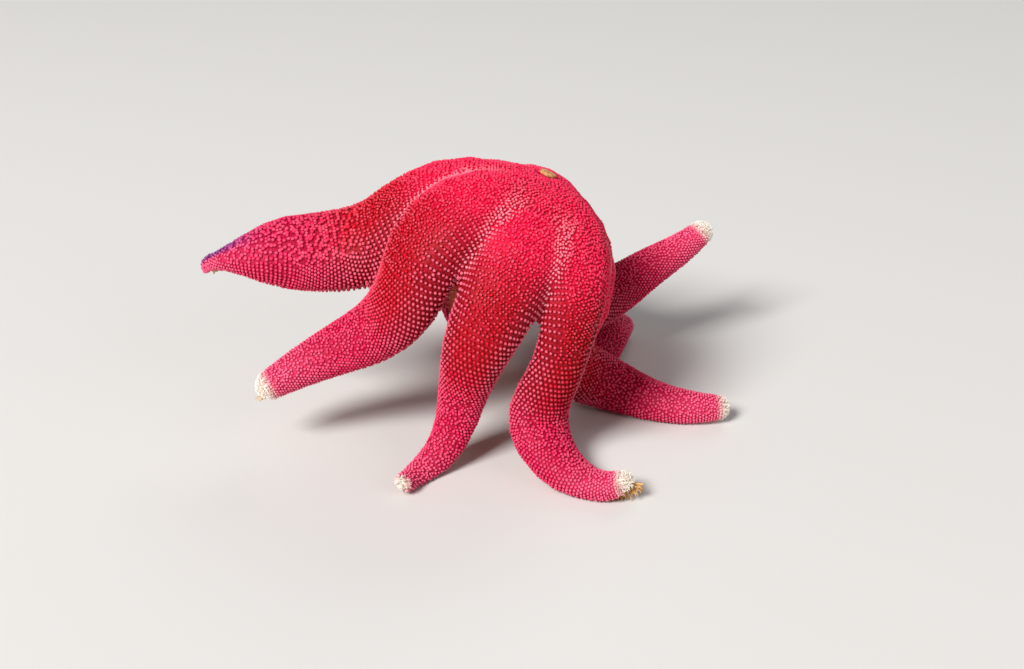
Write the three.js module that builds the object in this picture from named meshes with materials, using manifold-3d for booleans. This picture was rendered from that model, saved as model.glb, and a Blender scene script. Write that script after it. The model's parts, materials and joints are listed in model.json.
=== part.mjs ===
// Smooth sun star (Solaster endeca), humped up on the tips of its arms.
//
// A domed disc carries nine tapering arms. Each arm is one soft tube with a rounded back, a flatter sole
// and a groove along the sole for the tube feet. The arms run together over the disc, and the nine
// grooves run to the mouth under it. An arm is posed as a chain of seven equal lengths, each with its own
// bend. The back of the disc carries the madreporite, a small plate between two of the arms.
//
// Millimetres and degrees, +Z up. The floor is z = 0, and the origin is under the middle of the body's box.

import * as THREE from "three";
import { mergeVertices } from "three/addons/utils/BufferGeometryUtils.js";
import Module from "manifold-3d";

const wasm = await Module();
wasm.setup();

// ---------------------------------------------------------------- driving dimensions
const HUB = new THREE.Vector3(0, 0, 62); // middle of the disc's flesh
const MIDDLE = { x: -21.35, y: 11.45 }; // middle of the body's box, from under the hub
const DISC_LEAN = { right: 24, back: 6 };

const ARM_LENGTH = 112; // from the hub to the tip, along the arm
const LINKS = 7;
const STEPS_PER_LINK = 6;

const HALF_WIDTH = { root: 16, tip: 4.8, taper: 1.3 };
const BACK = { root: 12.7, tip: 4.4, taper: 1.1 }; // from an arm's middle line up to its back
const SOLE = { root: 6.6, tip: 3.2, taper: 1.1 }; // and down to its sole
const TAPER_FROM = 30;
const WAIST_FROM = 8; // an arm narrows to its waist from here
const WAIST_AT = 44; // to here
const STOUT_FROM = 80; // and has its own stoutness from here
const DRAWN_IN_FROM = 80; // an arm that narrows early does so from here
const TIP_ROUND = 5; // length over which the tip closes
const TIP_STATIONS = [107, 109.5, 111];
const STATION = 5.6; // spacing of the sections along an arm
const ROOT_STATION = 7.2; // and along its root, in the disc
const ARCH_SIDES = 8; // sides of a section over the back
const ARCH_FULLNESS = 0.9; // under 1 fills out the shoulders of the back
const SOLE_CORNER = 0.8; // where the sole's corners lie, as a share of the half width and of the depth

const ROOT_END = 50; // where the arms are parted from the disc
const NEAR_END = 80; // where an arm's near length meets its far one
const FAR_END = 103; // where the tip begins
const CUT = 0.3; // gap between two lengths of flesh

const GROOVE = { halfWidth: 2.4, depth: 2.6, from: 6, widestShare: 0.3, deepestShare: 0.6 };
const DISC = { radius: 37, back: 12.8, sole: 6.8, spokes: 27, rings: [0.3, 0.55, 0.75, 0.9, 0.98] };
const MOUTH = { top: 4.2, lip: 7.8, depth: 3, sides: 18 };
const PLATE = { heading: 118, from: 7, radius: 2.8, crown: 2, edge: 0.3, proud: 0.7, sunk: 1.5, sides: 16 };

// Nine arms, counted round the disc from the left one through the front. "curl" bends each link towards
// the sole, "sway" bends it to the arm's left, and "twist" turns it about its own line.
const STRAIGHT = [0, 0, 0, 0, 0, 0, 0];
const ARMS = [
  {
    heading: 178,
    waist: 1.15,
    stout: 1.22,
    drawnIn: 0.6,
    curl: [10, 40, 10, -38, -15, 38, 55],
    sway: [0, 0, -3, 6, 5, -20, -20],
    twist: [0, -6, -12, -14, -8, 0, 0],
  },
  {
    heading: 218,
    waist: 0.93,
    stout: 0.93,
    drawnIn: 0,
    curl: [4, 36, 62, -10, -30, -12, 0],
    sway: [0, 1, -6, -16, -9, 10, 6],
    twist: STRAIGHT,
  },
  {
    heading: 258,
    waist: 0.76,
    stout: 0.66,
    drawnIn: 0,
    curl: [13, 37, 45, 19, -24, -42, -71],
    sway: [2, 2, -3, 7, 7, -28, -2],
    twist: STRAIGHT,
  },
  {
    heading: 298,
    waist: 0.6,
    stout: 0.93,
    drawnIn: 0,
    curl: [14, 31, 53, 5, -79, -21, -57],
    sway: [-1, -2, 18, -8, 7, 24, 26],
    twist: STRAIGHT,
  },
  {
    heading: 338,
    waist: 0.72,
    stout: 0.82,
    drawnIn: 0,
    curl: [44, 41, 4, -47, -59, 6, 28],
    sway: [0, 3, 47, 22, -10, 19, 17],
    twist: STRAIGHT,
  },
  {
    heading: 18,
    waist: 0.7,
    stout: 0.72,
    drawnIn: 0,
    curl: [47, 31, -24, -30, -32, 18, 20],
    sway: [0, -1, 6, 47, 19, -6, -11],
    twist: STRAIGHT,
  },
  {
    heading: 58,
    waist: 0.8,
    stout: 0.92,
    drawnIn: 0,
    curl: [31, 36, -35, -60, -25, 4, -11],
    sway: [-1, -2, -7, -12, -14, -4, 11],
    twist: STRAIGHT,
  },
  {
    heading: 98,
    waist: 0.9,
    stout: 0.9,
    drawnIn: 0,
    curl: [2, 22, 16, 15, -3, -34, -45],
    sway: [-5, -13, -26, -7, 7, 15, 12],
    twist: STRAIGHT,
  },
  {
    heading: 138,
    waist: 0.95,
    stout: 0.95,
    drawnIn: 0,
    curl: [10, 37, 13, 16, 4, -35, -52],
    sway: [-5, -15, -26, -5, 0, -7, -7],
    twist: STRAIGHT,
  },
];

const { degToRad, lerp, clamp, smoothstep, euclideanModulo } = THREE.MathUtils;

// ---------------------------------------------------------------- walking along an arm
const STRIDE = ARM_LENGTH / LINKS / STEPS_PER_LINK;

// The frames of a walk out from the hub: x runs along the arm, y to its left and z up through its back.
function walk({ heading, curl, sway, twist }) {
  const walker = new THREE.Object3D();
  walker.position.copy(HUB);
  walker.rotateX(degToRad(-DISC_LEAN.back));
  walker.rotateY(degToRad(DISC_LEAN.right));
  walker.rotateZ(degToRad(heading));
  const frames = [];
  for (let step = 0; step < LINKS * STEPS_PER_LINK; step++) {
    frames.push(walker.clone());
    const link = Math.floor(step / STEPS_PER_LINK);
    walker.rotateY(degToRad(curl[link] / STEPS_PER_LINK));
    walker.rotateZ(degToRad(sway[link] / STEPS_PER_LINK));
    walker.rotateX(degToRad(twist[link] / STEPS_PER_LINK));
    walker.translateX(STRIDE);
  }
  frames.push(walker.clone());
  return frames;
}

// The frame at a distance along a walk, between two of its steps.
function frameAt(frames, distance) {
  const at = clamp(distance / STRIDE, 0, frames.length - 1);
  const step = Math.min(Math.floor(at), frames.length - 2);
  const frame = frames[step].clone();
  frame.position.lerp(frames[step + 1].position, at - step);
  frame.quaternion.slerp(frames[step + 1].quaternion, at - step);
  frame.updateMatrix();
  return frame.matrix;
}

// ---------------------------------------------------------------- meshes and solids
// A closed skin over rings of equal counts of points, each ring counter-clockwise seen from the next.
function skinOver(rings) {
  const count = rings[0].length;
  const points = rings.flat();
  const middleOf = (ring) => ring.reduce((sum, p) => sum.add(p), new THREE.Vector3()).divideScalar(count);
  points.push(middleOf(rings[0]), middleOf(rings.at(-1)));
  const [first, last] = [points.length - 2, points.length - 1];
  const index = [];
  for (let k = 0; k < count; k++) {
    const next = (k + 1) % count;
    for (let ring = 0; ring + 1 < rings.length; ring++) {
      const [here, there] = [ring * count, (ring + 1) * count];
      index.push(here + k, here + next, there + next);
      index.push(here + k, there + next, there + k);
    }
    index.push(first, next, k);
    index.push(last, first - count + k, first - count + next);
  }
  return new THREE.BufferGeometry().setFromPoints(points).setIndex(index);
}

function solidOf(geometry) {
  const bare = geometry.clone();
  bare.deleteAttribute("normal");
  bare.deleteAttribute("uv");
  const { attributes, index } = mergeVertices(bare, 1e-4);
  const vertProperties = attributes.position.array;
  const triVerts = new Uint32Array(index.array);
  return new wasm.Manifold(new wasm.Mesh({ numProp: 3, vertProperties, triVerts }));
}

function geometryOf(solid) {
  const { vertProperties, triVerts } = solid.getMesh();
  const geometry = new THREE.BufferGeometry();
  geometry.setAttribute("position", new THREE.BufferAttribute(vertProperties, 3));
  geometry.setIndex(new THREE.BufferAttribute(triVerts, 1));
  geometry.computeVertexNormals();
  return geometry;
}

const largestOf = (solid) => solid.decompose().reduce((a, b) => (b.volume() > a.volume() ? b : a));

// ---------------------------------------------------------------- an arm's sections
function sizesAt(distance, { waist, stout, drawnIn }) {
  const gone = clamp((distance - TAPER_FROM) / (ARM_LENGTH - TAPER_FROM), 0, 1);
  const past = clamp((distance - ARM_LENGTH + TIP_ROUND) / TIP_ROUND, 0, 0.97);
  const inner = lerp(1, waist, smoothstep(distance, WAIST_FROM, WAIST_AT));
  const own = lerp(inner, stout, smoothstep(distance, WAIST_AT, STOUT_FROM));
  const near = 1 - drawnIn * smoothstep(distance, DRAWN_IN_FROM, FAR_END);
  const share = own * near * Math.sqrt(1 - past ** 2);
  const sizeOf = ({ root, tip, taper }) => lerp(root, tip, gone ** taper) * share;
  return { half: sizeOf(HALF_WIDTH), back: sizeOf(BACK), sole: sizeOf(SOLE) };
}

// A section's points, to the arm's left (x) and up (y), from the left edge over the back and round.
function section(distance, arm, grown = 0) {
  const { half, back, sole } = sizesAt(distance, arm);
  const [width, top, bottom] = [half + grown, back + grown, sole + grown];
  const groove = Math.min(GROOVE.halfWidth, GROOVE.widestShare * half);
  const grooveDepth = grown ? 0 : Math.min(GROOVE.depth, GROOVE.deepestShare * sole);
  const points = [];
  for (let k = 0; k <= ARCH_SIDES; k++) {
    const turn = (Math.PI * k) / ARCH_SIDES;
    points.push(new THREE.Vector2(width * Math.cos(turn), top * Math.sin(turn) ** ARCH_FULLNESS));
  }
  points.push(new THREE.Vector2(-SOLE_CORNER * width, -SOLE_CORNER * bottom));
  points.push(new THREE.Vector2(-groove, -bottom));
  points.push(new THREE.Vector2(0, grooveDepth - bottom));
  points.push(new THREE.Vector2(groove, -bottom));
  points.push(new THREE.Vector2(SOLE_CORNER * width, -SOLE_CORNER * bottom));
  return points;
}

// The groove alone, as a wedge to take out of the sole.
function wedge(distance, arm) {
  const { sole } = sizesAt(distance, arm);
  const { halfWidth, depth } = GROOVE;
  const corners = [[2 * halfWidth, -sole - depth], [0, -sole + depth], [-2 * halfWidth, -sole - depth]];
  return corners.map(([x, y]) => new THREE.Vector2(x, y));
}

// A solid along an arm through the sections at the given distances, kept over the floor.
function along(k, distances, shapeAt) {
  const rings = distances.map((distance) => {
    const frame = frameAt(walks[k], distance);
    return shapeAt(distance).map(({ x, y }) => {
      const point = new THREE.Vector3(0, x, y).applyMatrix4(frame);
      return point.setZ(Math.max(0, point.z));
    });
  });
  return solidOf(skinOver(rings));
}

const tube = (k, distances, grown) => along(k, distances, (distance) => section(distance, ARMS[k], grown));

function distancesBetween(from, to, spacing = STATION) {
  const count = Math.round((to - from) / spacing);
  return Array.from({ length: count + 1 }, (_, k) => lerp(from, to, k / count));
}

const walks = ARMS.map(walk);
const rootDistances = distancesBetween(0, ROOT_END, ROOT_STATION);

// ---------------------------------------------------------------- the disc
// Between two arms the disc falls away with a bend that goes over from the one arm's to the other's.
function fallTowards(heading) {
  const turn = euclideanModulo(heading - ARMS[0].heading, 360) / (360 / ARMS.length);
  const one = ARMS[Math.floor(turn)];
  const other = ARMS[(Math.floor(turn) + 1) % ARMS.length];
  const over = smoothstep(turn - Math.floor(turn), 0, 1);
  const curl = one.curl.map((bend, k) => lerp(bend, other.curl[k], over));
  return walk({ heading, curl, sway: STRAIGHT, twist: STRAIGHT });
}

function discFlesh() {
  const spokes = Array.from({ length: DISC.spokes }, (_, k) => fallTowards((360 * k) / DISC.spokes));
  const ring = (share, height) => {
    const swell = new THREE.Vector3(0, 0, height * Math.sqrt(1 - share ** 3));
    return spokes.map((frames) => swell.clone().applyMatrix4(frameAt(frames, share * DISC.radius)));
  };
  const rings = DISC.rings.map((share) => ring(share, -DISC.sole));
  rings.push(ring(1, 0));
  rings.push(...DISC.rings.toReversed().map((share) => ring(share, DISC.back)));
  return solidOf(skinOver(rings));
}

// A turned solid with its axis through the back of the disc, in a frame of the disc.
function turned(profile, sides, frame) {
  const points = profile.map(([radius, height]) => new THREE.Vector2(radius, height));
  const geometry = new THREE.LatheGeometry(points, sides).rotateX(Math.PI / 2);
  return solidOf(geometry.applyMatrix4(frame));
}

let disc = discFlesh();
walks.forEach((_, k) => {
  disc = disc.add(tube(k, rootDistances));
});
walks.forEach((_, k) => {
  const grooved = distancesBetween(GROOVE.from, ROOT_END + CUT, ROOT_STATION);
  disc = disc.subtract(along(k, grooved, (distance) => wedge(distance, ARMS[k])));
});
const mouthTop = MOUTH.depth - DISC.sole;
const underMouth = -2 * DISC.sole;
const mouthProfile = [[0, underMouth], [MOUTH.lip, underMouth], [MOUTH.top, mouthTop], [0, mouthTop]];
disc = disc.subtract(turned(mouthProfile, MOUTH.sides, frameAt(walks[0], 0)));

// The madreporite sits in a bed of its own shape in the back of the disc.
const plateFrame = frameAt(fallTowards(PLATE.heading), PLATE.from);
plateFrame.multiply(new THREE.Matrix4().makeTranslation(0, 0, DISC.back));
const plateProfile = [
  [0, -PLATE.sunk],
  [PLATE.radius, -PLATE.sunk],
  [PLATE.radius, PLATE.edge],
  [PLATE.crown, PLATE.proud],
  [0, PLATE.proud],
];
const bedTop = 2 * PLATE.proud;
const bedFloor = -PLATE.sunk - CUT;
const bedRadius = PLATE.radius + CUT;
const bedProfile = [[0, bedFloor], [bedRadius, bedFloor], [bedRadius, bedTop], [0, bedTop]];
disc = disc.subtract(turned(bedProfile, PLATE.sides, plateFrame));

// ---------------------------------------------------------------- the parts
const root = new THREE.Group();
function addPart(name, solid, color, roughness) {
  const material = new THREE.MeshStandardMaterial({ color, roughness, metalness: 0 });
  const mesh = new THREE.Mesh(geometryOf(solid), material);
  mesh.name = name;
  root.add(mesh);
}

addPart("disc", disc, 0xd01235, 0.5);
addPart("madreporite", turned(plateProfile, PLATE.sides, plateFrame), 0xd8a86a, 0.7);

// An arm that crowds the next one gives way to it, and every arm gives way to the roots of the others.
ARMS.forEach((_, k) => {
  const crowding = [tube((k + 1) % ARMS.length, distancesBetween(0, ARM_LENGTH), CUT)];
  for (let other = 0; other < ARMS.length; other++) {
    if (other !== k) crowding.push(tube(other, rootDistances, CUT));
  }
  const addLength = (length, distances, color, roughness) => {
    const freed = crowding.reduce((solid, other) => solid.subtract(other), tube(k, distances));
    addPart(`arm_${k + 1}_${length}`, largestOf(freed), color, roughness);
  };
  addLength("near", distancesBetween(ROOT_END + CUT, NEAR_END), 0xd81840, 0.5);
  addLength("far", distancesBetween(NEAR_END + CUT, FAR_END), 0xe0305a, 0.5);
  addLength("tip", [FAR_END + CUT, ...TIP_STATIONS, ARM_LENGTH], 0xf4e6cc, 0.6);
});

root.position.set(-MIDDLE.x, -MIDDLE.y, 0);

export default root;
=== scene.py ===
import json
import math

import bpy
import numpy as np
from mathutils import Matrix, Vector
from mathutils.bvhtree import BVHTree
from mathutils.kdtree import KDTree

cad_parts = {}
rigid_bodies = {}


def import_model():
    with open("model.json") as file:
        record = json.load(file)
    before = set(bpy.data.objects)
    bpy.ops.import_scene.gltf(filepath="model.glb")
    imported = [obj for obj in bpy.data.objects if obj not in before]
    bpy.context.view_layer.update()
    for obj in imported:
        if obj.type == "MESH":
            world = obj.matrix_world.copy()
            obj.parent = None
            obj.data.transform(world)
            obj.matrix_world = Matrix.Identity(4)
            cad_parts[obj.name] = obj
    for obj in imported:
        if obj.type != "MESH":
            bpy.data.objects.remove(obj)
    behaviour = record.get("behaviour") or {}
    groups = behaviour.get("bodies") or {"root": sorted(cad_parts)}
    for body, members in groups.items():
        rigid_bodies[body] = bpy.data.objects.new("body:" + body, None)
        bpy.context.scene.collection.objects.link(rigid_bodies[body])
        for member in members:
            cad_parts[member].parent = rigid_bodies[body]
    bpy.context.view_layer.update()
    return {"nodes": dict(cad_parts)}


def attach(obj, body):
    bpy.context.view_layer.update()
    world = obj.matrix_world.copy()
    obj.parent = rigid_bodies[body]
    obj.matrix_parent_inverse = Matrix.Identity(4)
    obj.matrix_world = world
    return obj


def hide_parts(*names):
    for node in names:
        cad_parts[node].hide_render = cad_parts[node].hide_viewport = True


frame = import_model()


# ------------------------------------------------------------------ the pose of the nine arms
# A sun star has no skeleton to speak of: each arm is a soft tube round a middle line, and the animal
# bends it where it likes. The middle lines are walked out from the hub of the disc, seven lengths to an
# arm, each length curling towards the sole, swaying to the left and twisting by its own few degrees.
MM = 0.001
HUB = Vector((21.35, -11.45, 62)) * MM
DISC_LEAN = {"right": 24, "back": 6}
ARM_LENGTH = 112
LINKS = 7
STEPS_PER_LINK = 6
STRAIGHT = [0] * LINKS
ARMS = [
    {"heading": 178, "curl": [10, 40, 10, -38, -15, 38, 55], "sway": [0, 0, -3, 6, 5, -20, -20],
     "twist": [0, -6, -12, -14, -8, 0, 0]},
    {"heading": 218, "curl": [4, 36, 62, -10, -30, -12, 0], "sway": [0, 1, -6, -16, -9, 10, 6]},
    {"heading": 258, "curl": [13, 37, 45, 19, -24, -42, -71], "sway": [2, 2, -3, 7, 7, -28, -2]},
    {"heading": 298, "curl": [14, 31, 53, 5, -79, -21, -57], "sway": [-1, -2, 18, -8, 7, 24, 26]},
    {"heading": 338, "curl": [44, 41, 4, -47, -59, 6, 28], "sway": [0, 3, 47, 22, -10, 19, 17]},
    {"heading": 18, "curl": [47, 31, -24, -30, -32, 18, 20], "sway": [0, -1, 6, 47, 19, -6, -11]},
    {"heading": 58, "curl": [31, 36, -35, -60, -25, 4, -11], "sway": [-1, -2, -7, -12, -14, -4, 11]},
    {"heading": 98, "curl": [2, 22, 16, 15, -3, -34, -45], "sway": [-5, -13, -26, -7, 7, 15, 12]},
    {"heading": 138, "curl": [10, 37, 13, 16, 4, -35, -52], "sway": [-5, -15, -26, -5, 0, -7, -7]},
]
WAIST = np.array([1.15, 0.93, 0.76, 0.6, 0.72, 0.7, 0.8, 0.9, 0.95])  # each arm's stoutness near the disc
STOUT = np.array([1.22, 0.93, 0.66, 0.93, 0.82, 0.72, 0.92, 0.9, 0.95])  # and further out
DISC_REACH, WAIST_AT, STOUT_AT = 8, 44, 80  # where each of the two begins and ends, in mm from the hub
TAPER_FROM = 30
HALF_WIDTH = {"root": 16, "tip": 4.8, "power": 1.3}
SOLE_DEPTH = {"root": 6.6, "tip": 3.2, "power": 1.1}
GROOVE_HALF = 2.4 * MM


def turn(degrees, axis):
    return Matrix.Rotation(math.radians(degrees), 4, axis)


DISC_LEANED = Matrix.Translation(HUB) @ turn(-DISC_LEAN["back"], "X") @ turn(DISC_LEAN["right"], "Y")


def walk(heading, curl, sway, twist=STRAIGHT):
    """The frames of an arm's middle line: x runs along the arm, y to its left, z up through its back."""
    stride = Matrix.Translation((ARM_LENGTH * MM / LINKS / STEPS_PER_LINK, 0, 0))
    frames = [DISC_LEANED @ turn(heading, "Z")]
    for step in range(LINKS * STEPS_PER_LINK):
        link = step // STEPS_PER_LINK
        bend = turn(curl[link] / STEPS_PER_LINK, "Y") @ turn(sway[link] / STEPS_PER_LINK, "Z")
        frames.append(frames[-1] @ bend @ turn(twist[link] / STEPS_PER_LINK, "X") @ stride)
    return np.array(frames)


WALKS = np.array([walk(**arm) for arm in ARMS])


def middle(arm, distance):
    """A point on an arm's middle line, so many millimetres from the hub, and its x, y and z directions."""
    at = np.clip(distance / ARM_LENGTH, 0, 1) * LINKS * STEPS_PER_LINK
    step = min(int(at), LINKS * STEPS_PER_LINK - 1)
    this, following = WALKS[arm, step], WALKS[arm, step + 1]
    here = this + (following - this) * (at - step)
    x, y, z = (Vector(here[:3, axis]).normalized() for axis in range(3))
    return Vector(here[:3, 3]), x, y, z


def ramp(value, low, high):
    """0 under low, 1 over high, and a smooth rise between them."""
    t = np.clip((value - low) / (high - low), 0, 1)
    return t * t * (3 - 2 * t)


def before(value, low, high):
    """1 under low, 0 over high, and a smooth fall between them."""
    return ramp(-value, -high, -low)


def tapering(arm, distance, root, tip, power):
    """A size of an arm's flesh in metres, from a root and a tip size in millimetres and its stoutness."""
    gone = np.clip((distance - TAPER_FROM) / (ARM_LENGTH - TAPER_FROM), 0, 1)
    inner = 1 + (WAIST[arm] - 1) * ramp(distance, DISC_REACH, WAIST_AT)
    own = inner + (STOUT[arm] - inner) * ramp(distance, WAIST_AT, STOUT_AT)
    return (root + (tip - root) * gone**power) * own * MM


def half_width(arm, distance):
    """How far an arm's flesh reaches to each side of its middle line."""
    return tapering(arm, distance, **HALF_WIDTH)


def sole_depth(arm, distance):
    """How far the sole lies below the middle line."""
    return tapering(arm, distance, **SOLE_DEPTH)


def groove_half(arm, distance):
    return np.minimum(GROOVE_HALF, 0.3 * half_width(arm, distance))


# ------------------------------------------------------------------ the skin
# One leathery skin covers the disc and all nine arms without a seam. Under it lies a net of small chalk
# plates, and over it the coat of short spines, so the skin itself lies a millimetre inside the outline.
COAT_DEPTH = 1.0 * MM
SKIN_VOXEL = 0.82 * MM
SMOOTHINGS = 6
LAPPED = 0.7 * MM  # how far each length of flesh is pushed into the one before it, over the cut
ON_THE_CUT = 0.05 * MM
CUTS = {"near": 50.3, "far": 80.3, "tip": 103.3}  # where an arm's lengths begin


def only(*objects):
    """Selects these objects alone, the last of them active."""
    bpy.ops.object.select_all(action="DESELECT")
    for each in objects:
        each.select_set(True)
    bpy.context.view_layer.objects.active = objects[-1]


def apply_modifier(piece, kind, **settings):
    only(piece)
    modifier = piece.modifiers.new(kind.lower(), kind)
    for name, value in settings.items():
        setattr(modifier, name, value)
    bpy.ops.object.modifier_apply(modifier=modifier.name)


def pick(piece, kind, wanted):
    """Selects only the wanted vertices or polygons of a piece, and opens it in edit mode."""
    only(piece)
    bpy.ops.object.mode_set(mode="EDIT")
    bpy.ops.mesh.select_all(action="DESELECT")
    bpy.ops.object.mode_set(mode="OBJECT")
    for element in getattr(piece.data, kind):
        element.select = wanted(element)
    bpy.ops.object.mode_set(mode="EDIT")


def flesh_copy(node):
    """A node of flesh, its triangles merged and its first end pushed over the cut before it."""
    copy = bpy.data.objects.new("flesh_" + node, frame["nodes"][node].data.copy())
    bpy.context.collection.objects.link(copy)
    only(copy)
    bpy.ops.object.mode_set(mode="EDIT")
    bpy.ops.mesh.select_all(action="SELECT")
    bpy.ops.mesh.remove_doubles(threshold=0.001 * MM)
    bpy.ops.object.mode_set(mode="OBJECT")
    if node.startswith("arm_"):
        _, number, length = node.split("_")
        cut, outwards, _, _ = middle(int(number) - 1, CUTS[length])
        pick(copy, "vertices", lambda vertex: abs((vertex.co - cut).dot(outwards)) < ON_THE_CUT)
        bpy.ops.transform.translate(value=-LAPPED * outwards)
        bpy.ops.object.mode_set(mode="OBJECT")
    return copy


FLESH = sorted(name for name in frame["nodes"] if name != "madreporite")
only(*[flesh_copy(node) for node in FLESH])
bpy.ops.object.join()
skin = bpy.context.object
skin.name = "skin"
apply_modifier(skin, "REMESH", mode="VOXEL", voxel_size=SKIN_VOXEL)
# The wrap leaves a stray bubble or two between the lengths: only what hangs together with the top stays.
summit = max(vertex.co.z for vertex in skin.data.vertices)
pick(skin, "vertices", lambda vertex: vertex.co.z == summit)
bpy.ops.mesh.select_linked()
bpy.ops.mesh.select_all(action="INVERT")
bpy.ops.mesh.delete(type="VERT")
bpy.ops.object.mode_set(mode="OBJECT")
# Smoothing in and back out again takes the wrap's steps away and leaves the thin tips their size.
for _ in range(SMOOTHINGS):
    apply_modifier(skin, "SMOOTH", factor=0.5, iterations=4)
    apply_modifier(skin, "SMOOTH", factor=-0.53, iterations=4)
apply_modifier(skin, "SMOOTH", factor=0.5, iterations=2)
apply_modifier(skin, "DISPLACE", strength=-COAT_DEPTH, mid_level=0)
only(skin)
bpy.ops.object.shade_smooth()
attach(skin, "root")
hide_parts(*FLESH)

# Every point of the skin belongs to the arm whose middle line it is nearest to, counted in half widths.
SAMPLE_STEP = 2  # in mm along the arm
AT_ONCE = 4000  # points looked at in one go
SAMPLES = np.arange(0, ARM_LENGTH + 0.1, SAMPLE_STEP)
sampled = np.array([[[list(v) for v in middle(arm, s)] for s in SAMPLES] for arm in range(len(ARMS))])
sampled_width = np.array([half_width(arm, SAMPLES) for arm in range(len(ARMS))])


def on_the_arms(points):
    """For each point: its arm, how far out it is (mm), its angle round the arm from the ridge of the back,
    how near it is to the crease between two arms, how far it is to the left, and the arm's directions."""
    answers = []
    for part in np.array_split(points, max(1, len(points) // AT_ONCE)):
        away = part[:, None, None, :] - sampled[None, :, :, 0]
        near = np.linalg.norm(away, axis=3) / sampled_width[None]
        by_arm = near.min(axis=2)
        arm = by_arm.argmin(axis=1)
        step = near[np.arange(len(part)), arm].argmin(axis=1)
        offset = away[np.arange(len(part)), arm, step]
        axes = sampled[arm, step]
        out, left, up = (np.einsum("ij,ij->i", offset, axes[:, axis]) for axis in (1, 2, 3))
        two = np.sort(by_arm, axis=1)[:, :2]
        answers.append(np.column_stack([arm, SAMPLES[step] + out / MM, np.arctan2(left, up),
                                        two[:, 1] - two[:, 0], left, axes[:, 1], axes[:, 3]]))
    found = np.concatenate(answers)
    return {"arm": found[:, 0].astype(int), "out": found[:, 1], "angle": found[:, 2], "apart": found[:, 3],
            "left": found[:, 4], "forward": found[:, 5:8], "up": found[:, 8:]}


def chosen(place, mask):
    return {key: value[mask] for key, value in place.items()}


# Where each marking begins and is full: along the arm in mm, and round it from the ridge of the back.
BANDS = {"middle": (26, 42), "flank": (26, 44), "outer": (54, 80), "mauve": (84, 98), "rosy": (84, 106)}
FLANK_ANGLES = math.radians(30), math.radians(66)
UNDER_ANGLES = math.radians(106), math.radians(124)
MAUVE_ANGLES = -0.4, 0.5
CREAM_LENGTH = np.array([0, 3.6, 2.2, 3.5, 3, 3.5, 4, 3.5, 3.5])  # of each arm's pale tip, in mm
CREAM_FADE = -2.4, 0.8
CREASE_BEGINS, CREASE_ENDS = (12, 24), (34, 44)


def markings(place):
    """How much each point is of an arm's middle or beyond, of its outer half, of its flank, of its rosy end,
    of its pale tip, of the first arm's mauve tip, of the under side and of a crease, each from 0 to 1."""
    angle, out = np.abs(place["angle"]), place["out"]
    pale = ARM_LENGTH - CREAM_LENGTH[place["arm"]]
    return {
        "middle": ramp(out, *BANDS["middle"]),
        "outer": ramp(out, *BANDS["outer"]),
        "flank": ramp(angle, *FLANK_ANGLES) * ramp(out, *BANDS["flank"]),
        "rosy": ramp(out, *BANDS["rosy"]),
        "pale": ramp(out, pale + CREAM_FADE[0], pale + CREAM_FADE[1]),
        "mauve": ramp(out, *BANDS["mauve"]) * ramp(-place["angle"], *MAUVE_ANGLES) * (place["arm"] == 0),
        "under": ramp(angle, *UNDER_ANGLES),
        "crease": ramp(-place["apart"], -0.3, -0.06) * ramp(out, *CREASE_BEGINS) * before(out, *CREASE_ENDS),
    }


def give_attributes(piece, values):
    for name, value in values.items():
        attribute = piece.data.attributes.new(name, "FLOAT", "POINT")
        attribute.data.foreach_set("value", np.ascontiguousarray(value, dtype=np.float32))


skin_points = np.empty(len(skin.data.vertices) * 3)
skin.data.vertices.foreach_get("co", skin_points)
give_attributes(skin, markings(on_the_arms(skin_points.reshape(-1, 3))))


def srgb(code):
    """A colour written as sRGB hex, as linear RGBA."""
    channels = [int(code[i:i + 2], 16) / 255 for i in (0, 2, 4)]
    return [c / 12.92 if c <= 0.04045 else ((c + 0.055) / 1.055) ** 2.4 for c in channels] + [1.0]


def add_node(tree, kind, inputs=None, **settings):
    """Adds a node, sets its properties, and gives each named input a value or links it to a socket."""
    made = tree.nodes.new(kind)
    for name, value in settings.items():
        setattr(made, name, value)
    for name, value in (inputs or {}).items():
        if isinstance(value, bpy.types.NodeSocket):
            tree.links.new(value, made.inputs[name])
        else:
            made.inputs[name].default_value = value
    return made


def mixed(tree, factor, first, second):
    """A mix of two colours, each a hex code or a socket."""
    ends = {name: end if isinstance(end, bpy.types.NodeSocket) else srgb(end)
            for name, end in (("A", first), ("B", second))}
    node = add_node(tree, "ShaderNodeMix", data_type="RGBA")
    sockets = {"Factor": node.inputs[0], "A": node.inputs[6], "B": node.inputs[7]}
    for name, value in {"Factor": factor, **ends}.items():
        if isinstance(value, bpy.types.NodeSocket):
            tree.links.new(value, sockets[name])
        else:
            sockets[name].default_value = value
    return node.outputs[2]


def marked(tree, name):
    """The value of one of the markings at the point being coloured."""
    return add_node(tree, "ShaderNodeAttribute", attribute_name=name).outputs["Fac"]


def living_skin(name):
    """A wet skin, and its node tree and shader."""
    material = bpy.data.materials.new(name)
    material.use_nodes = True
    shader = material.node_tree.nodes["Principled BSDF"]
    shader.inputs["Roughness"].default_value = 0.6
    shader.inputs["IOR"].default_value = 1.36
    shader.inputs["Specular IOR Level"].default_value = 0.25
    return material, material.node_tree, shader


def blotches(tree, size, low, high):
    """Soft cloudy patches of about that size in millimetres, as a factor from 0 to 1."""
    place = add_node(tree, "ShaderNodeTexCoord").outputs["Object"]
    noise = add_node(tree, "ShaderNodeTexNoise", {"Vector": place, "Scale": 1 / (size * MM), "Detail": 3.0})
    spread = add_node(tree, "ShaderNodeMapRange",
                      {"Value": noise.outputs["Fac"], "From Min": low, "From Max": high})
    return spread.outputs["Result"]
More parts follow.
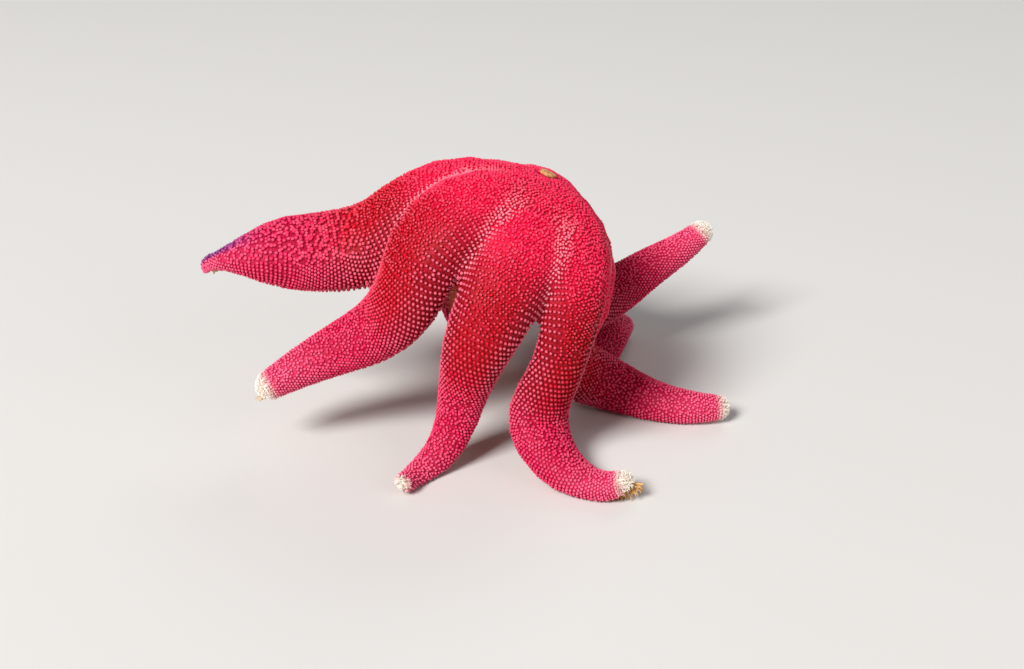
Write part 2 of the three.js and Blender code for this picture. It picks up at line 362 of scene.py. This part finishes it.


# Live echinoderm skin, grown over chalk plates: wet, so its shine is soft and broad, deep crimson where it
# lies between the beads, and thin and creamy on the tips and under the arms, where less pigment is laid down.
# Painted shade: the darker reds between the beads from the middle of each arm outwards and on its flanks
# stand for the shade there, over a somewhat deeper crimson of the skin's own.
BETWEEN = {"dark": "c60430", "light": "e00c3e", "middle": "9c000c", "flank": "88000c", "outer": "a80034",
           "rosy": "c82c58", "pale": "fbeede", "mauve": "6a2460", "under": "d06a50", "gill_sac": "e83458"}
BACK_MARKS = ("middle", "flank", "outer")
TIP_MARKS = ("rosy", "under", "mauve", "pale")
PIGMENT_PATCH = 7  # in mm
GILL_SAC = 0.45  # across the tip of one of the soft sacs between the beads, in mm
WRINKLE = 0.3 * MM
sun_star_skin, tree, shader = living_skin("sun_star_skin")
colour = mixed(tree, blotches(tree, PIGMENT_PATCH, 0.35, 0.65), BETWEEN["dark"], BETWEEN["light"])
for mark in (*BACK_MARKS, *TIP_MARKS):
    colour = mixed(tree, marked(tree, mark), colour, BETWEEN[mark])
colour = mixed(tree, blotches(tree, GILL_SAC, 0.5, 0.85), colour, BETWEEN["gill_sac"])
tree.links.new(colour, shader.inputs["Base Color"])
on_skin = add_node(tree, "ShaderNodeTexCoord").outputs["Object"]
wrinkles = add_node(tree, "ShaderNodeTexNoise", {"Vector": on_skin, "Scale": 1 / WRINKLE, "Detail": 2.0})
relief = add_node(tree, "ShaderNodeBump",
                  {"Height": wrinkles.outputs["Fac"], "Distance": 0.1 * MM, "Strength": 0.5})
tree.links.new(relief.outputs["Normal"], shader.inputs["Normal"])
skin.data.materials.clear()
skin.data.materials.append(sun_star_skin)


# ------------------------------------------------------------------ the coat of the back
# The back is covered with paxillae: low chalk columns a millimetre high, each with a crown of short blunt
# spinelets under a thin skin, which reads as a bead. They stand in rows across the arms' sides, and close
# and unruly on the ridges and the disc, where each is drawn out like a short worm.
COAT_FROM = 20.0  # the rows begin here, in mm from the hub
EDGE_ANGLE = math.radians(112)  # the coat of the back ends here, under the edge of the arm
RAY_STEP = math.radians(1.5)
RAY_REACH = math.radians(118)
HALF_ROW = 60  # more beads than any row has on one side
# From bead to bead on the disc, how much wider that gets on the arms, and how much closer at their tips.
BEAD_GAP = {"disc": 0.92, "middle": 0.34, "outer": 0.08, "tip": 0.2}
RIDGE_LAG = 13  # the beads widen this much further out on the ridges, in mm
PIT_GAP = 2.1 * MM  # from pit to pit in the net on the first arm
PIT_RADIUS = 0.68 * MM
PLATE_AT = DISC_LEANED @ turn(118, "Z") @ Matrix.Translation(Vector((7, 0, 12.8)) * MM)  # of the madreporite
PLATE_RADIUS = 2.6  # in mm
chance = np.random.default_rng(7)
skin_tree = BVHTree.FromObject(skin, bpy.context.evaluated_depsgraph_get())


def halfway(out):
    """How much a place belongs to the middle of an arm, where the beads stand widest and most in order."""
    return ramp(out, 26, 44) * before(out, 54, 76)


def gap_at(out):
    """From bead to bead in millimetres along a row."""
    wider = BEAD_GAP["middle"] * halfway(out) + BEAD_GAP["outer"] * ramp(out, 54, 76)
    return BEAD_GAP["disc"] + wider - BEAD_GAP["tip"] * ramp(out, 92, 108)


def row_step(out):
    """From row to row in millimetres."""
    return gap_at(out) * (0.94 + 0.3 * halfway(out))


def local_gap(place):
    """The gap in metres at a place, which widens further out on the ridges than on the flanks."""
    on_ridge = 1 - ramp(np.abs(place["angle"]), 0.45, 1.1)
    return gap_at(place["out"] - RIDGE_LAG * on_ridge * before(place["out"], 44, 64)) * MM


def row_of_roots(arm, out, first):
    """Places along one row across an arm's back, evenly spaced down both sides from the ridge."""
    centre, _, left, up = middle(arm, out)
    hits = []
    for angle in np.arange(-RAY_REACH, RAY_REACH, RAY_STEP):
        place, _, _, _ = skin_tree.ray_cast(centre, up * math.cos(angle) + left * math.sin(angle))
        if place is not None:
            hits.append((*place, angle))
    if len(hits) < 3:
        return np.empty((0, 3))
    hits = np.array(hits)
    lengths = np.concatenate([[0], np.linalg.norm(np.diff(hits[:, :3], axis=0), axis=1).cumsum()])
    ridge = np.interp(0, hits[:, 3], lengths)
    gap = gap_at(out) * MM
    places = np.arange(ridge + first * gap - gap * HALF_ROW, lengths[-1], gap)
    places = places[places > 0]
    return np.column_stack([np.interp(places, lengths, hits[:, axis]) for axis in range(3)])


def keep_apart(points, gaps, taken):
    """Which of the points lie no nearer than their gap to any taken before, by cells of 2 mm."""
    kept = []
    cell = 2 * MM
    for index, (point, gap) in enumerate(zip(points, gaps)):
        home = tuple(int(c // cell) for c in point)
        near = [other for dx in (-1, 0, 1) for dy in (-1, 0, 1) for dz in (-1, 0, 1)
                for other in taken.get((home[0] + dx, home[1] + dy, home[2] + dz), ())]
        if all(sum((a - b) ** 2 for a, b in zip(point, other)) > gap * gap for other in near):
            taken.setdefault(home, []).append(tuple(point))
            kept.append(index)
    return kept


candidates, cast_from = [], []
for arm in range(len(ARMS)):
    out, row = COAT_FROM, 0
    while out < ARM_LENGTH:
        candidates.append(row_of_roots(arm, out, 0.5 * (row % 2)))
        cast_from += [arm] * len(candidates[-1])
        out += row_step(out)
        row += 1
candidates = np.concatenate(candidates)
place = on_the_arms(candidates)
in_order = np.maximum(0.85 * ramp(np.abs(place["angle"]), 0.5, 1.1), 0.8 * halfway(place["out"] - 8))
candidates += chance.normal(size=candidates.shape) * ((1 - in_order) * local_gap(place) * 0.25)[:, None]
in_rows = (np.abs(place["angle"]) < EDGE_ANGLE) & (local_gap(place) > 0.86 * gap_at(place["out"]) * MM)
in_rows &= place["arm"] == cast_from
taken = {}
candidates, gaps = candidates[in_rows], local_gap(chosen(place, in_rows))
roots = candidates[keep_apart(candidates, 0.78 * gaps, taken)]

# Where rows part round a bend, and over the ridges and the disc, more fill what is left open.
centres = np.array([list(polygon.center) for polygon in skin.data.polygons])
chance.shuffle(centres)
place = on_the_arms(centres)
on_back = np.abs(place["angle"]) < EDGE_ANGLE
centres_below, centres, place = centres[~on_back], centres[on_back], chosen(place, on_back)
holes = (0.84 + 0.08 * halfway(place["out"])) * local_gap(place)
roots = np.concatenate([roots, centres[keep_apart(centres, holes, taken)]])


def in_net(place):
    """How much a place belongs to the back of the first arm, where broad crowns close up round bare pits."""
    along_it = ramp(place["out"], 46, 58) * before(place["out"], 90, 98)
    return along_it * (1 - ramp(place["angle"], 0.8, 1.1)) * (place["arm"] == 0)


pitted = centres[in_net(place) > chance.uniform(size=len(centres))]
pits = pitted[keep_apart(pitted, np.full(len(pitted), PIT_GAP), {})]
nearest_pit = KDTree(len(pits))
for index, pit in enumerate(pits):
    nearest_pit.insert(pit, index)
nearest_pit.balance()
on_plate = np.linalg.norm(roots - np.array(PLATE_AT.translation), axis=1) < (PLATE_RADIUS + 0.2) * MM
in_pit = np.array([nearest_pit.find(root)[2] <= PIT_RADIUS for root in roots])
roots = roots[~in_pit & ~on_plate]


def landed(points):
    """The points moved onto the skin, and the skin's outward directions there."""
    found = [skin_tree.find_nearest(Vector(point))[:2] for point in points]
    return np.array([list(at) for at, _ in found]), np.array([list(normal) for _, normal in found])


def column(sides, foot, top, low, high):
    """A tapering column that stands on the z axis between two heights."""
    bpy.ops.mesh.primitive_cone_add(vertices=sides, radius1=foot, radius2=top, depth=high - low)
    bpy.context.object.data.transform(Matrix.Translation((0, 0, (low + high) / 2)))
    return bpy.context.object


def raise_top(piece, steps, point):
    """Draws a column's top face up by steps of rise and width, then to a point."""
    pick(piece, "polygons", lambda face: face.normal.z > 0.9)
    for rise, width in steps:
        bpy.ops.mesh.extrude_region_move(TRANSFORM_OT_translate={"value": (0, 0, rise)})
        bpy.ops.transform.resize(value=(width, width, 1))
    bpy.ops.mesh.poke(offset=point)
    bpy.ops.mesh.select_all(action="SELECT")
    bpy.ops.mesh.quads_convert_to_tris()
    bpy.ops.object.mode_set(mode="OBJECT")


def spinelet(radius, length, x, y, lean, heading):
    """One blunt three-sided spine on the skin at x, y, leaning outwards by some degrees."""
    spine = column(3, radius, 0.8 * radius, -0.25, length)
    raise_top(spine, (), radius * 0.7)
    spine.data.transform(Matrix.Translation((x, y, 0)) @ turn(heading, "Z") @ turn(lean, "Y"))
    return spine


def crown(length, points):
    """A low six-sided bead, so long for one across, with its spinelets' points just out of its top."""
    bead = column(6, 0.5, 0.47, -0.2, 0.42)
    raise_top(bead, [(0.32, 0.68)], 0.14)
    pieces = [bead]
    for x, y in points:
        point = column(3, 0.12, 0, 0.5, 1)
        point.data.transform(Matrix.Translation((x, y, 0)))
        pieces.append(point)
    only(*pieces)
    bpy.ops.object.join()
    bpy.context.object.data.transform(Matrix.Diagonal((length, 1, 1, 1)))
    return bpy.context.object


def tuft(made):
    """A template: the points and triangles of some pieces, for one unit of width and of height."""
    only(*made)
    if len(made) > 1:
        bpy.ops.object.join()
    mesh = bpy.context.object.data
    points = np.array([list(vertex.co) for vertex in mesh.vertices])
    faces = np.array([list(polygon.vertices) for polygon in mesh.polygons])
    bpy.ops.object.delete()
    return points, faces


def ring_of(count, spread):
    angles = [2 * math.pi * k / count for k in range(count)]
    return [(spread * math.cos(angle), spread * math.sin(angle)) for angle in angles]


MAP_SPAN = 120  # the bake map's width, in mm of skin
PATCH_RADIUS = 0.0015  # of one tuft on the bake map
OFF_THE_FLOOR = 0.05 * MM


def copies(template, roots, normals, forwards, size, place):
    """One copy of the template on each root: along, across and up from the skin by the three sizes."""
    points, faces = template
    count, each = len(roots), len(points)
    up = normals / np.linalg.norm(normals, axis=1)[:, None]
    across = np.cross(up, forwards)
    across /= np.linalg.norm(across, axis=1)[:, None]
    axes = np.stack([np.cross(across, up), across, up], axis=1)
    co = roots[:, None] + np.einsum("pa,na,nak->npk", points, size, axes)
    co[:, :, 2] = np.maximum(co[:, :, 2], OFF_THE_FLOOR)
    rise = np.clip(points[:, 2], 0, 1)
    # On the map each arm is laid out flat, and each tuft is a small round patch with its top in the middle.
    round_it = place["angle"] * (HALF_WIDTH["root"] - 0.1 * place["out"])
    flat = np.column_stack([place["out"] / MAP_SPAN + 0.03, 0.5 + round_it / MAP_SPAN])
    about = np.arctan2(points[:, 1], points[:, 0])
    patch = np.column_stack([np.cos(about), np.sin(about)]) * PATCH_RADIUS * (1 - 0.9 * rise[:, None])
    values = {key: np.repeat(value, each) for key, value in markings(place).items()}
    values["rise"] = np.tile(rise, count)
    values["fleck"] = np.repeat(chance.uniform(0, 1, count), each)
    faces = faces[None] + (np.arange(count) * each)[:, None, None]
    return {"co": co.reshape(-1, 3), "faces": faces.reshape(-1, 3),
            "uv": (flat[:, None] + patch[None]).reshape(-1, 2), "values": values}


def joined(name, groups, material):
    """One closed mesh of all the copies in the groups, with their markings and their bake map."""
    starts = np.cumsum([0] + [len(group["co"]) for group in groups])
    co = np.concatenate([group["co"] for group in groups])
    faces = np.concatenate([group["faces"] + start for group, start in zip(groups, starts)])
    uv = np.concatenate([group["uv"] for group in groups])[faces.ravel()]
    mesh = bpy.data.meshes.new(name)
    mesh.vertices.add(len(co))
    mesh.vertices.foreach_set("co", co.ravel())
    mesh.loops.add(faces.size)
    mesh.loops.foreach_set("vertex_index", faces.ravel())
    mesh.polygons.add(len(faces))
    mesh.polygons.foreach_set("loop_start", np.arange(0, faces.size, 3))
    mesh.update(calc_edges=True)
    mesh.polygons.foreach_set("use_smooth", np.ones(len(faces), bool))
    mesh.uv_layers.new(name="OFBake").data.foreach_set("uv", uv.astype(np.float32).ravel())
    piece = bpy.data.objects.new(name, mesh)
    bpy.context.collection.objects.link(piece)
    give_attributes(piece, {key: np.concatenate([group["values"][key] for group in groups])
                            for key in groups[0]["values"]})
    mesh.materials.append(material)
    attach(piece, "root")
    return piece


# Crowns of chalk spinelets with a thin wet skin drawn over them: each is deep crimson at the foot like
# the skin it stands on, and paler towards its top, partly where the chalk shows through and partly as a
# painted highlight on the tops.
# Painted shade: the crowns' deeper red from the middle of each arm outwards.
CROWN = {"disc": "ff1c58", "middle": "ec1030", "flank": "ff6a86", "outer": "fc3068",
         "fleck": "ff8ca4", "crease": "ffc8d4",
         "rosy": "ff7698", "pale": "fffaf0", "mauve": "9a4a92", "under": "f2b49c"}
beaded_crowns, tree, shader = living_skin("beaded_chalk_crowns")
foot, top = BETWEEN["light"], CROWN["disc"]
for mark in BACK_MARKS:
    foot = mixed(tree, marked(tree, mark), foot, BETWEEN[mark])
    top = mixed(tree, marked(tree, mark), top, CROWN[mark])
# Painted highlight, in part: the crowns along the creases between the arms are made paler, for glints there
# as well as their own paler colour. The flecks are the crowns' own tone, paler at random.
for mark, share in (("fleck", 0.35), ("crease", 0.5)):
    paler = add_node(tree, "ShaderNodeMath", {0: marked(tree, mark), 1: share}, operation="MULTIPLY")
    top = mixed(tree, paler.outputs["Value"], top, CROWN[mark])
for mark in TIP_MARKS:
    foot = mixed(tree, marked(tree, mark), foot, BETWEEN[mark])
    top = mixed(tree, marked(tree, mark), top, CROWN[mark])
# The paler tops are partly a painted highlight.
height = add_node(tree, "ShaderNodeMapRange",
                  {"Value": marked(tree, "rise"), "From Min": 0.3, "From Max": 0.95})
tree.links.new(mixed(tree, height.outputs["Result"], foot, top), shader.inputs["Base Color"])

BEAD = tuft([crown(1, ring_of(4, 0.25))])
GRAIN = tuft([crown(1.6, [(-0.22, 0.1), (0.02, -0.12), (0.24, 0.08)])])
BRISTLES = tuft([spinelet(0.11, 1 - 0.12 * (k % 2), 0.34 * math.cos(2.4 * k) * (k / 6) ** 0.5,
                          0.34 * math.sin(2.4 * k) * (k / 6) ** 0.5, 4 * k, 137.5 * k) for k in range(6)])
roots, normals = landed(roots)
normals += chance.normal(size=normals.shape) * 0.07
place = on_the_arms(roots)
marks = markings(place)
gaps = local_gap(place)
far_out = ramp(place["out"], 60, 82)
is_tip = np.maximum(marks["pale"], marks["mauve"] * ramp(place["out"], 101, 104)) > 0.5
least = 0.45 + 4 * (gaps / gap_at(0) / MM - 1) + ramp(place["out"], 32, 48)
is_grain = (chance.uniform(size=len(roots)) > least) & ~is_tip
is_bead = ~is_grain & ~is_tip
forwards = np.where(is_bead[:, None], place["forward"], chance.normal(size=roots.shape))
broad = np.where(is_grain, 0.86, 0.96 - 0.12 * halfway(place["out"]) + 0.06 * far_out)
broad += 0.28 * in_net(place)
broad = np.where(is_tip, 1.25, broad) * gaps * chance.normal(1, 0.08, len(roots))
tall = np.where(is_tip, 1, 0.68 + 0.2 * halfway(place["out"])) * COAT_DEPTH
tall *= chance.normal(1, 0.05, len(roots))
size = np.column_stack([broad, broad, tall])
for arm in range(len(ARMS)):
    for name, slot, kinds in (("coat", "beads", ((BEAD, is_bead), (GRAIN, is_grain))),
                              ("tip_coat", "tips", ((BRISTLES, is_tip),))):
        groups = []
        for template, kind in kinds:
            mine = (place["arm"] == arm) & kind
            groups.append(copies(template, roots[mine], normals[mine], forwards[mine], size[mine],
                                 chosen(place, mine)))
        joined(f"{name}_arm_{arm + 1}", groups, beaded_crowns)


# ------------------------------------------------------------------ the edges and the soles
# Along each arm's edge stands a row of larger brushes, two millimetres apart, and under the edge low
# crowns stand thinly. Both sides of the groove carry combs of longer spines, which can close over it.
BRUSH = tuft([spinelet(0.15, 1 - 0.1 * abs(k), 0.15 * side, 0.24 * k, 12, 90 - 90 * side + 22 * k * side)
              for k in (-1.5, -0.5, 0.5, 1.5) for side in (-1, 1)])
COMB = tuft([spinelet(0.13, 1 - 0.12 * abs(k), 0.05 * (-1) ** k, 0.22 * k, 7 * abs(k), 90 if k > 0 else -90)
             for k in (-2, -1, 0, 1, 2)])
EDGE_FROM, COMBS_FROM = 30, 11  # in mm from the hub
BRUSH_SIZE, COMB_SIZE, SOLE_BEAD_SIZE = (1.5, 1.5, 1.05), (1.5, 1.5, 1.9), (0.9, 0.9, 0.85)  # in mm


def along_arm(arm, first, spacing, aim, end=ARM_LENGTH - 1):
    """Places along an arm, on both its sides, where a line from the middle towards an aim meets the skin."""
    found = []
    out = first
    while out < end:
        centre, _, left, up = middle(arm, out)
        for side in (-1, 1):
            across, below = (float(reach) for reach in aim(out))
            place, _, _, _ = skin_tree.ray_cast(centre, (side * across * left - below * up).normalized())
            if place is not None:
                found.append(list(place))
        out += spacing(out)
    found = np.array(found)
    return found[on_the_arms(found)["arm"] == arm]


def edge_gap(out):
    return 2.2 - 0.8 * ramp(out, 60, 110)


def comb_gap(out):
    return 1.7 - 0.6 * ramp(out, 60, 110)


def sole_gap(out):
    return (1.7 - 0.7 * ramp(out, 50, 110)) * MM


def planted(template, roots, normals_of, size):
    """Copies of a template on these roots, its size in millimetres at the disc and less on thinner arms."""
    roots, normals = landed(roots)
    place = on_the_arms(roots)
    normals = normals_of(normals, place)
    thinned = half_width(place["arm"], place["out"]) / (HALF_WIDTH["root"] * MM)
    sizes = np.array(size) * MM * (0.5 + 0.5 * thinned)[:, None]
    sizes *= chance.normal(1, 0.07, len(roots))[:, None]
    return copies(template, roots, normals, place["forward"], sizes, place)


def towards_groove(normals, place):
    """Down, and a little over the groove."""
    to_side = np.cross(place["up"], place["forward"])
    leaning = -place["up"] - 0.35 * np.sign(place["left"])[:, None] * to_side
    return leaning + chance.normal(size=normals.shape) * 0.08


place = on_the_arms(centres_below)
clear_of_groove = np.abs(place["left"]) > groove_half(place["arm"], place["out"]) + 1.5 * MM
centres_below = centres_below[clear_of_groove & (place["out"] > 12)]
for arm in range(len(ARMS)):
    edge = along_arm(arm, EDGE_FROM, edge_gap,
                     lambda out: (half_width(arm, out), 0.25 * sole_depth(arm, out)))
    groove = along_arm(arm, COMBS_FROM, comb_gap,
                       lambda out: (groove_half(arm, out) + 1.1 * MM, sole_depth(arm, out)))
    taken = {}
    keep_apart(np.concatenate([edge, groove]), [0] * (len(edge) + len(groove)), taken)
    between = centres_below[on_the_arms(centres_below)["arm"] == arm]
    between = between[keep_apart(between, sole_gap(on_the_arms(between)["out"]), taken)]
    joined(f"sole_coat_arm_{arm + 1}", [
        planted(BRUSH, edge, lambda normals, place: normals, BRUSH_SIZE),
        planted(COMB, groove, towards_groove, COMB_SIZE),
        planted(BEAD, between, lambda normals, place: normals, SOLE_BEAD_SIZE),
    ], beaded_crowns)


# ------------------------------------------------------------------ the tube feet
# Two rows of tube feet stand in every groove: soft hollow tubes of muscle and water, each with a sucker at
# its end. They hold the animal to what it stands on, and feel ahead of it at the tips of its arms.
def tube_foot(bend):
    """A template of a foot one long, curving over to one side, with its sucker spread at the end."""
    bpy.ops.mesh.primitive_circle_add(vertices=7, radius=0.12, fill_type="NGON")
    foot = bpy.context.object
    foot.data.transform(Matrix.Translation((0, 0, -0.1)))
    bpy.ops.object.mode_set(mode="EDIT")
    bpy.ops.mesh.select_all(action="SELECT")
    for rise, swell in ((0.35, 0.9), (0.3, 0.9), (0.25, 0.95), (0.12, 1.0), (0.05, 1.75), (0.04, 1.0)):
        bpy.ops.mesh.extrude_region_move(TRANSFORM_OT_translate={"value": (bend * rise, 0, rise)})
        bpy.ops.transform.resize(value=(swell, swell, 1))
        bend *= 1.6
    bpy.ops.mesh.inset(thickness=0.06)
    bpy.ops.transform.translate(value=(0, 0, -0.05))
    bpy.ops.mesh.select_all(action="SELECT")
    bpy.ops.mesh.quads_convert_to_tris()
    bpy.ops.object.mode_set(mode="OBJECT")
    return tuft([foot])


def feet_gap(out):
    return 3.8 - 1.6 * ramp(out, 50, 110)


def straight_down(normals, place):
    return -place["up"] + 0.15 * chance.normal(size=normals.shape)


def feeling_ahead(normals, place):
    return place["forward"] - 1.2 * place["up"] + 0.25 * chance.normal(size=normals.shape)


# Thin-walled muscle full of water: light goes a good way in, so the feet look soft and waxy, ochre at the
# root and straw-coloured at the sucker.
foot_flesh, tree, shader = living_skin("tube_foot_flesh")
colour = mixed(tree, marked(tree, "rise"), "c98a4a", "e6c08a")
colour = mixed(tree, marked(tree, "fleck"), colour, "d9a05c")
tree.links.new(colour, shader.inputs["Base Color"])
shader.inputs["Subsurface Weight"].default_value = 0.3
shader.inputs["Subsurface Radius"].default_value = (0.8, 0.45, 0.2)
shader.inputs["Subsurface Scale"].default_value = 1 * MM
FEET = [tube_foot(0.12), tube_foot(-0.3)]
FEET_FROM = 12, 13.9  # where the first foot of each kind stands, in mm from the hub
FEET_END = [108, 111, 99, 111, 104, 104, 103, 108, 108]  # how far out each arm's feet reach, in mm
FOOT_SIZE, FEELER_SIZE = (3.2, 3.2, 3.6), (2.6, 2.6, 5)  # in mm
TIP_BRUSHES = (1, 3)  # the arms whose tips hold out a dense brush of feet
TIP_BRUSH_FROM, TIP_BRUSH_GAP = 98, 0.7
for arm in range(len(ARMS)):
    groups = []
    for first, template in zip(FEET_FROM, FEET):
        feet = along_arm(
            arm, first, feet_gap,
            lambda out: (0.45 * groove_half(arm, out), sole_depth(arm, out) - 1.2 * MM),
            FEET_END[arm])
        groups.append(planted(template, feet, straight_down, FOOT_SIZE))
        if arm in TIP_BRUSHES:
            feet = along_arm(
                arm, TIP_BRUSH_FROM + first / 10, lambda out: TIP_BRUSH_GAP,
                lambda out: ((0.3 + 0.5 * (out % 2)) * groove_half(arm, out), sole_depth(arm, out)),
                ARM_LENGTH)
            groups.append(planted(template, feet, feeling_ahead, FEELER_SIZE))
    joined(f"tube_feet_arm_{arm + 1}", groups, foot_flesh)


# ------------------------------------------------------------------ the madreporite
# A small sieve plate of chalk, sandy and furrowed from its middle outwards, takes in water for the tube
# feet. It lies between two arms at the back of the disc, sunk in the skin and level with the crowns.
FURROWS = 24


def stepped_dome(name, sides, radius, foot, steps):
    """A plate in millimetres that rises from its foot by steps of height and width."""
    bpy.ops.mesh.primitive_circle_add(vertices=sides, radius=radius, fill_type="NGON")
    piece = bpy.context.object
    piece.name = name
    piece.data.transform(Matrix.Translation((0, 0, foot)))
    bpy.ops.object.mode_set(mode="EDIT")
    bpy.ops.mesh.select_all(action="SELECT")
    for rise, width in steps:
        bpy.ops.mesh.extrude_region_move(TRANSFORM_OT_translate={"value": (0, 0, rise)})
        bpy.ops.transform.resize(value=(width, width, 1))
    bpy.ops.mesh.poke(offset=0)
    bpy.ops.mesh.select_all(action="SELECT")
    bpy.ops.mesh.normals_make_consistent(inside=False)
    bpy.ops.object.mode_set(mode="OBJECT")
    return piece


def pressed(piece, sides, nearest, furthest, depth):
    """Presses every second line of vertices down by a depth, between two distances from the middle."""

    def in_furrow(vertex):
        line = round(math.atan2(vertex.co.y, vertex.co.x) / (2 * math.pi / sides))
        return line % 2 == 1 and nearest < vertex.co.xy.length < furthest

    pick(piece, "vertices", in_furrow)
    bpy.ops.transform.translate(value=(0, 0, -depth))
    bpy.ops.object.mode_set(mode="OBJECT")


def settled(piece, place, material):
    """Rounds the piece, scales it from millimetres, puts it in its place and attaches it to the root body."""
    apply_modifier(piece, "SUBSURF", levels=1, render_levels=1)
    piece.data.transform(place @ Matrix.Scale(MM, 4))
    bpy.ops.object.shade_smooth()
    piece.data.materials.append(material)
    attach(piece, "root")


plate = stepped_dome("madreporite_plate", 2 * FURROWS, PLATE_RADIUS, -1.6,
                     [(1.3, 1.0), (0.25, 0.92), (0.15, 0.8), (0.1, 0.66), (0.06, 0.5), (0.03, 0.4)])
pressed(plate, 2 * FURROWS, 0.5, 2.5, 0.22)
# Bare chalk, full of pores: dull, and blotched from sandy brown to straw.
sandy_chalk = bpy.data.materials.new("sandy_chalk")
sandy_chalk.use_nodes = True
tree = sandy_chalk.node_tree
shader = tree.nodes["Principled BSDF"]
tree.links.new(mixed(tree, blotches(tree, 0.8, 0.35, 0.65), "a8683c", "dcaa70"), shader.inputs["Base Color"])
shader.inputs["Roughness"].default_value = 0.75
settled(plate, PLATE_AT, sandy_chalk)
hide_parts("madreporite")


# ------------------------------------------------------------------ the mouth
# Under the disc a soft folded membrane closes the mouth, and at the root of every two arms a jaw carries
# a fan of six longer chalk spines that lean in over it.
MOUTH_AT = DISC_LEANED @ Matrix.Translation((0, 0, -3.3 * MM)) @ turn(180, "X")
FOLDS = 18
membrane = stepped_dome("mouth_membrane", 2 * FOLDS, 5.2, -1.4, [
    (1.2, 1.0), (0.3, 0.86), (0.2, 0.72), (0.35, 0.5), (0.2, 0.62), (-0.3, 0.7), (-0.9, 0.8),
])
pressed(membrane, 2 * FOLDS, 1, 4.6, 0.3)
# Bare wet skin without chalk or much pigment: a cloudy orange brown.
membrane_flesh, tree, shader = living_skin("mouth_membrane_flesh")
tree.links.new(mixed(tree, blotches(tree, 1.5, 0.35, 0.65), "b8604a", "dc9a72"), shader.inputs["Base Color"])
settled(membrane, MOUTH_AT, membrane_flesh)

JAW_RADIUS = 7.2
FAN = tuft([spinelet(0.1, 1 - 0.08 * abs(k), 0.05 * abs(k), 0.17 * k, 0, 90)
            for k in (-2.5, -1.5, -0.5, 0.5, 1.5, 2.5)])
jaws = [DISC_LEANED @ turn(arm["heading"] + 20, "Z") for arm in ARMS]
jaw_foot = Matrix.Translation((JAW_RADIUS * MM, 0, -6 * MM))
jaw_roots = np.array([list((jaw @ jaw_foot).translation) for jaw in jaws])
inwards = np.array([list(jaw.to_3x3() @ Vector((-1, 0, -0.9))) for jaw in jaws])
downwards = np.array([list(jaw.to_3x3() @ Vector((-1, 0, 1))) for jaw in jaws])
fan_sizes = np.full((len(jaws), 3), (3, 3, 3.6)) * MM
fans = copies(FAN, jaw_roots, inwards, downwards, fan_sizes, on_the_arms(jaw_roots))
joined("oral_spines", [fans], beaded_crowns)


# ------------------------------------------------------------------ floor, light and camera
# A plain pale floor, a large soft light high on the left, a fill on the right and a rim light behind.
FLOOR_SIZE = 30
bpy.ops.mesh.primitive_plane_add(size=FLOOR_SIZE)
floor = bpy.context.object
floor.name = "studio_floor"
# Uncoated studio paper: pale, warm and without any shine.
paper = bpy.data.materials.new("matte_backdrop_paper")
paper.use_nodes = True
paper.node_tree.nodes["Principled BSDF"].inputs["Base Color"].default_value = srgb("d9d6d2")
paper.node_tree.nodes["Principled BSDF"].inputs["Roughness"].default_value = 0.9
floor.data.materials.append(paper)

LIGHTS = [
    {"name": "key", "place": (-1.8, -2.2, 2.5), "size": 1.3, "watts": 192},
    {"name": "fill", "place": (2.6, -2.0, 1.5), "size": 2.0, "watts": 15},
    {"name": "rim", "place": (1.1, 2.4, 2.0), "size": 1.6, "watts": 18},
]
AIM = Vector((0, 0, 0.035))
for light in LIGHTS:
    data = bpy.data.lights.new(light["name"], "AREA")
    data.size = light["size"]
    data.energy = light["watts"]
    lamp = bpy.data.objects.new(light["name"], data)
    bpy.context.collection.objects.link(lamp)
    lamp.location = light["place"]
    lamp.rotation_euler = (AIM - lamp.location).to_track_quat("-Z", "Y").to_euler()

world = bpy.data.worlds.new("studio")
bpy.context.scene.world = world
world.use_nodes = True
world.node_tree.nodes["Background"].inputs["Color"].default_value = srgb("e8ecf0")
world.node_tree.nodes["Background"].inputs["Strength"].default_value = 0.22
bpy.context.scene.view_settings.view_transform = "Standard"

CAMERA_AIM = HUB + Vector((-8.5, 0, -36.2)) * MM
CAMERA_DISTANCE = 400 * MM
CAMERA_ELEVATION = math.radians(25)
camera = bpy.data.objects.new("camera", bpy.data.cameras.new("camera"))
bpy.context.collection.objects.link(camera)
camera.data.lens = 46.9
camera.data.clip_start = 0.01
back = Vector((0, -math.cos(CAMERA_ELEVATION), math.sin(CAMERA_ELEVATION)))
camera.location = CAMERA_AIM + CAMERA_DISTANCE * back
camera.rotation_euler = (-back).to_track_quat("-Z", "Y").to_euler()
bpy.context.scene.camera = camera
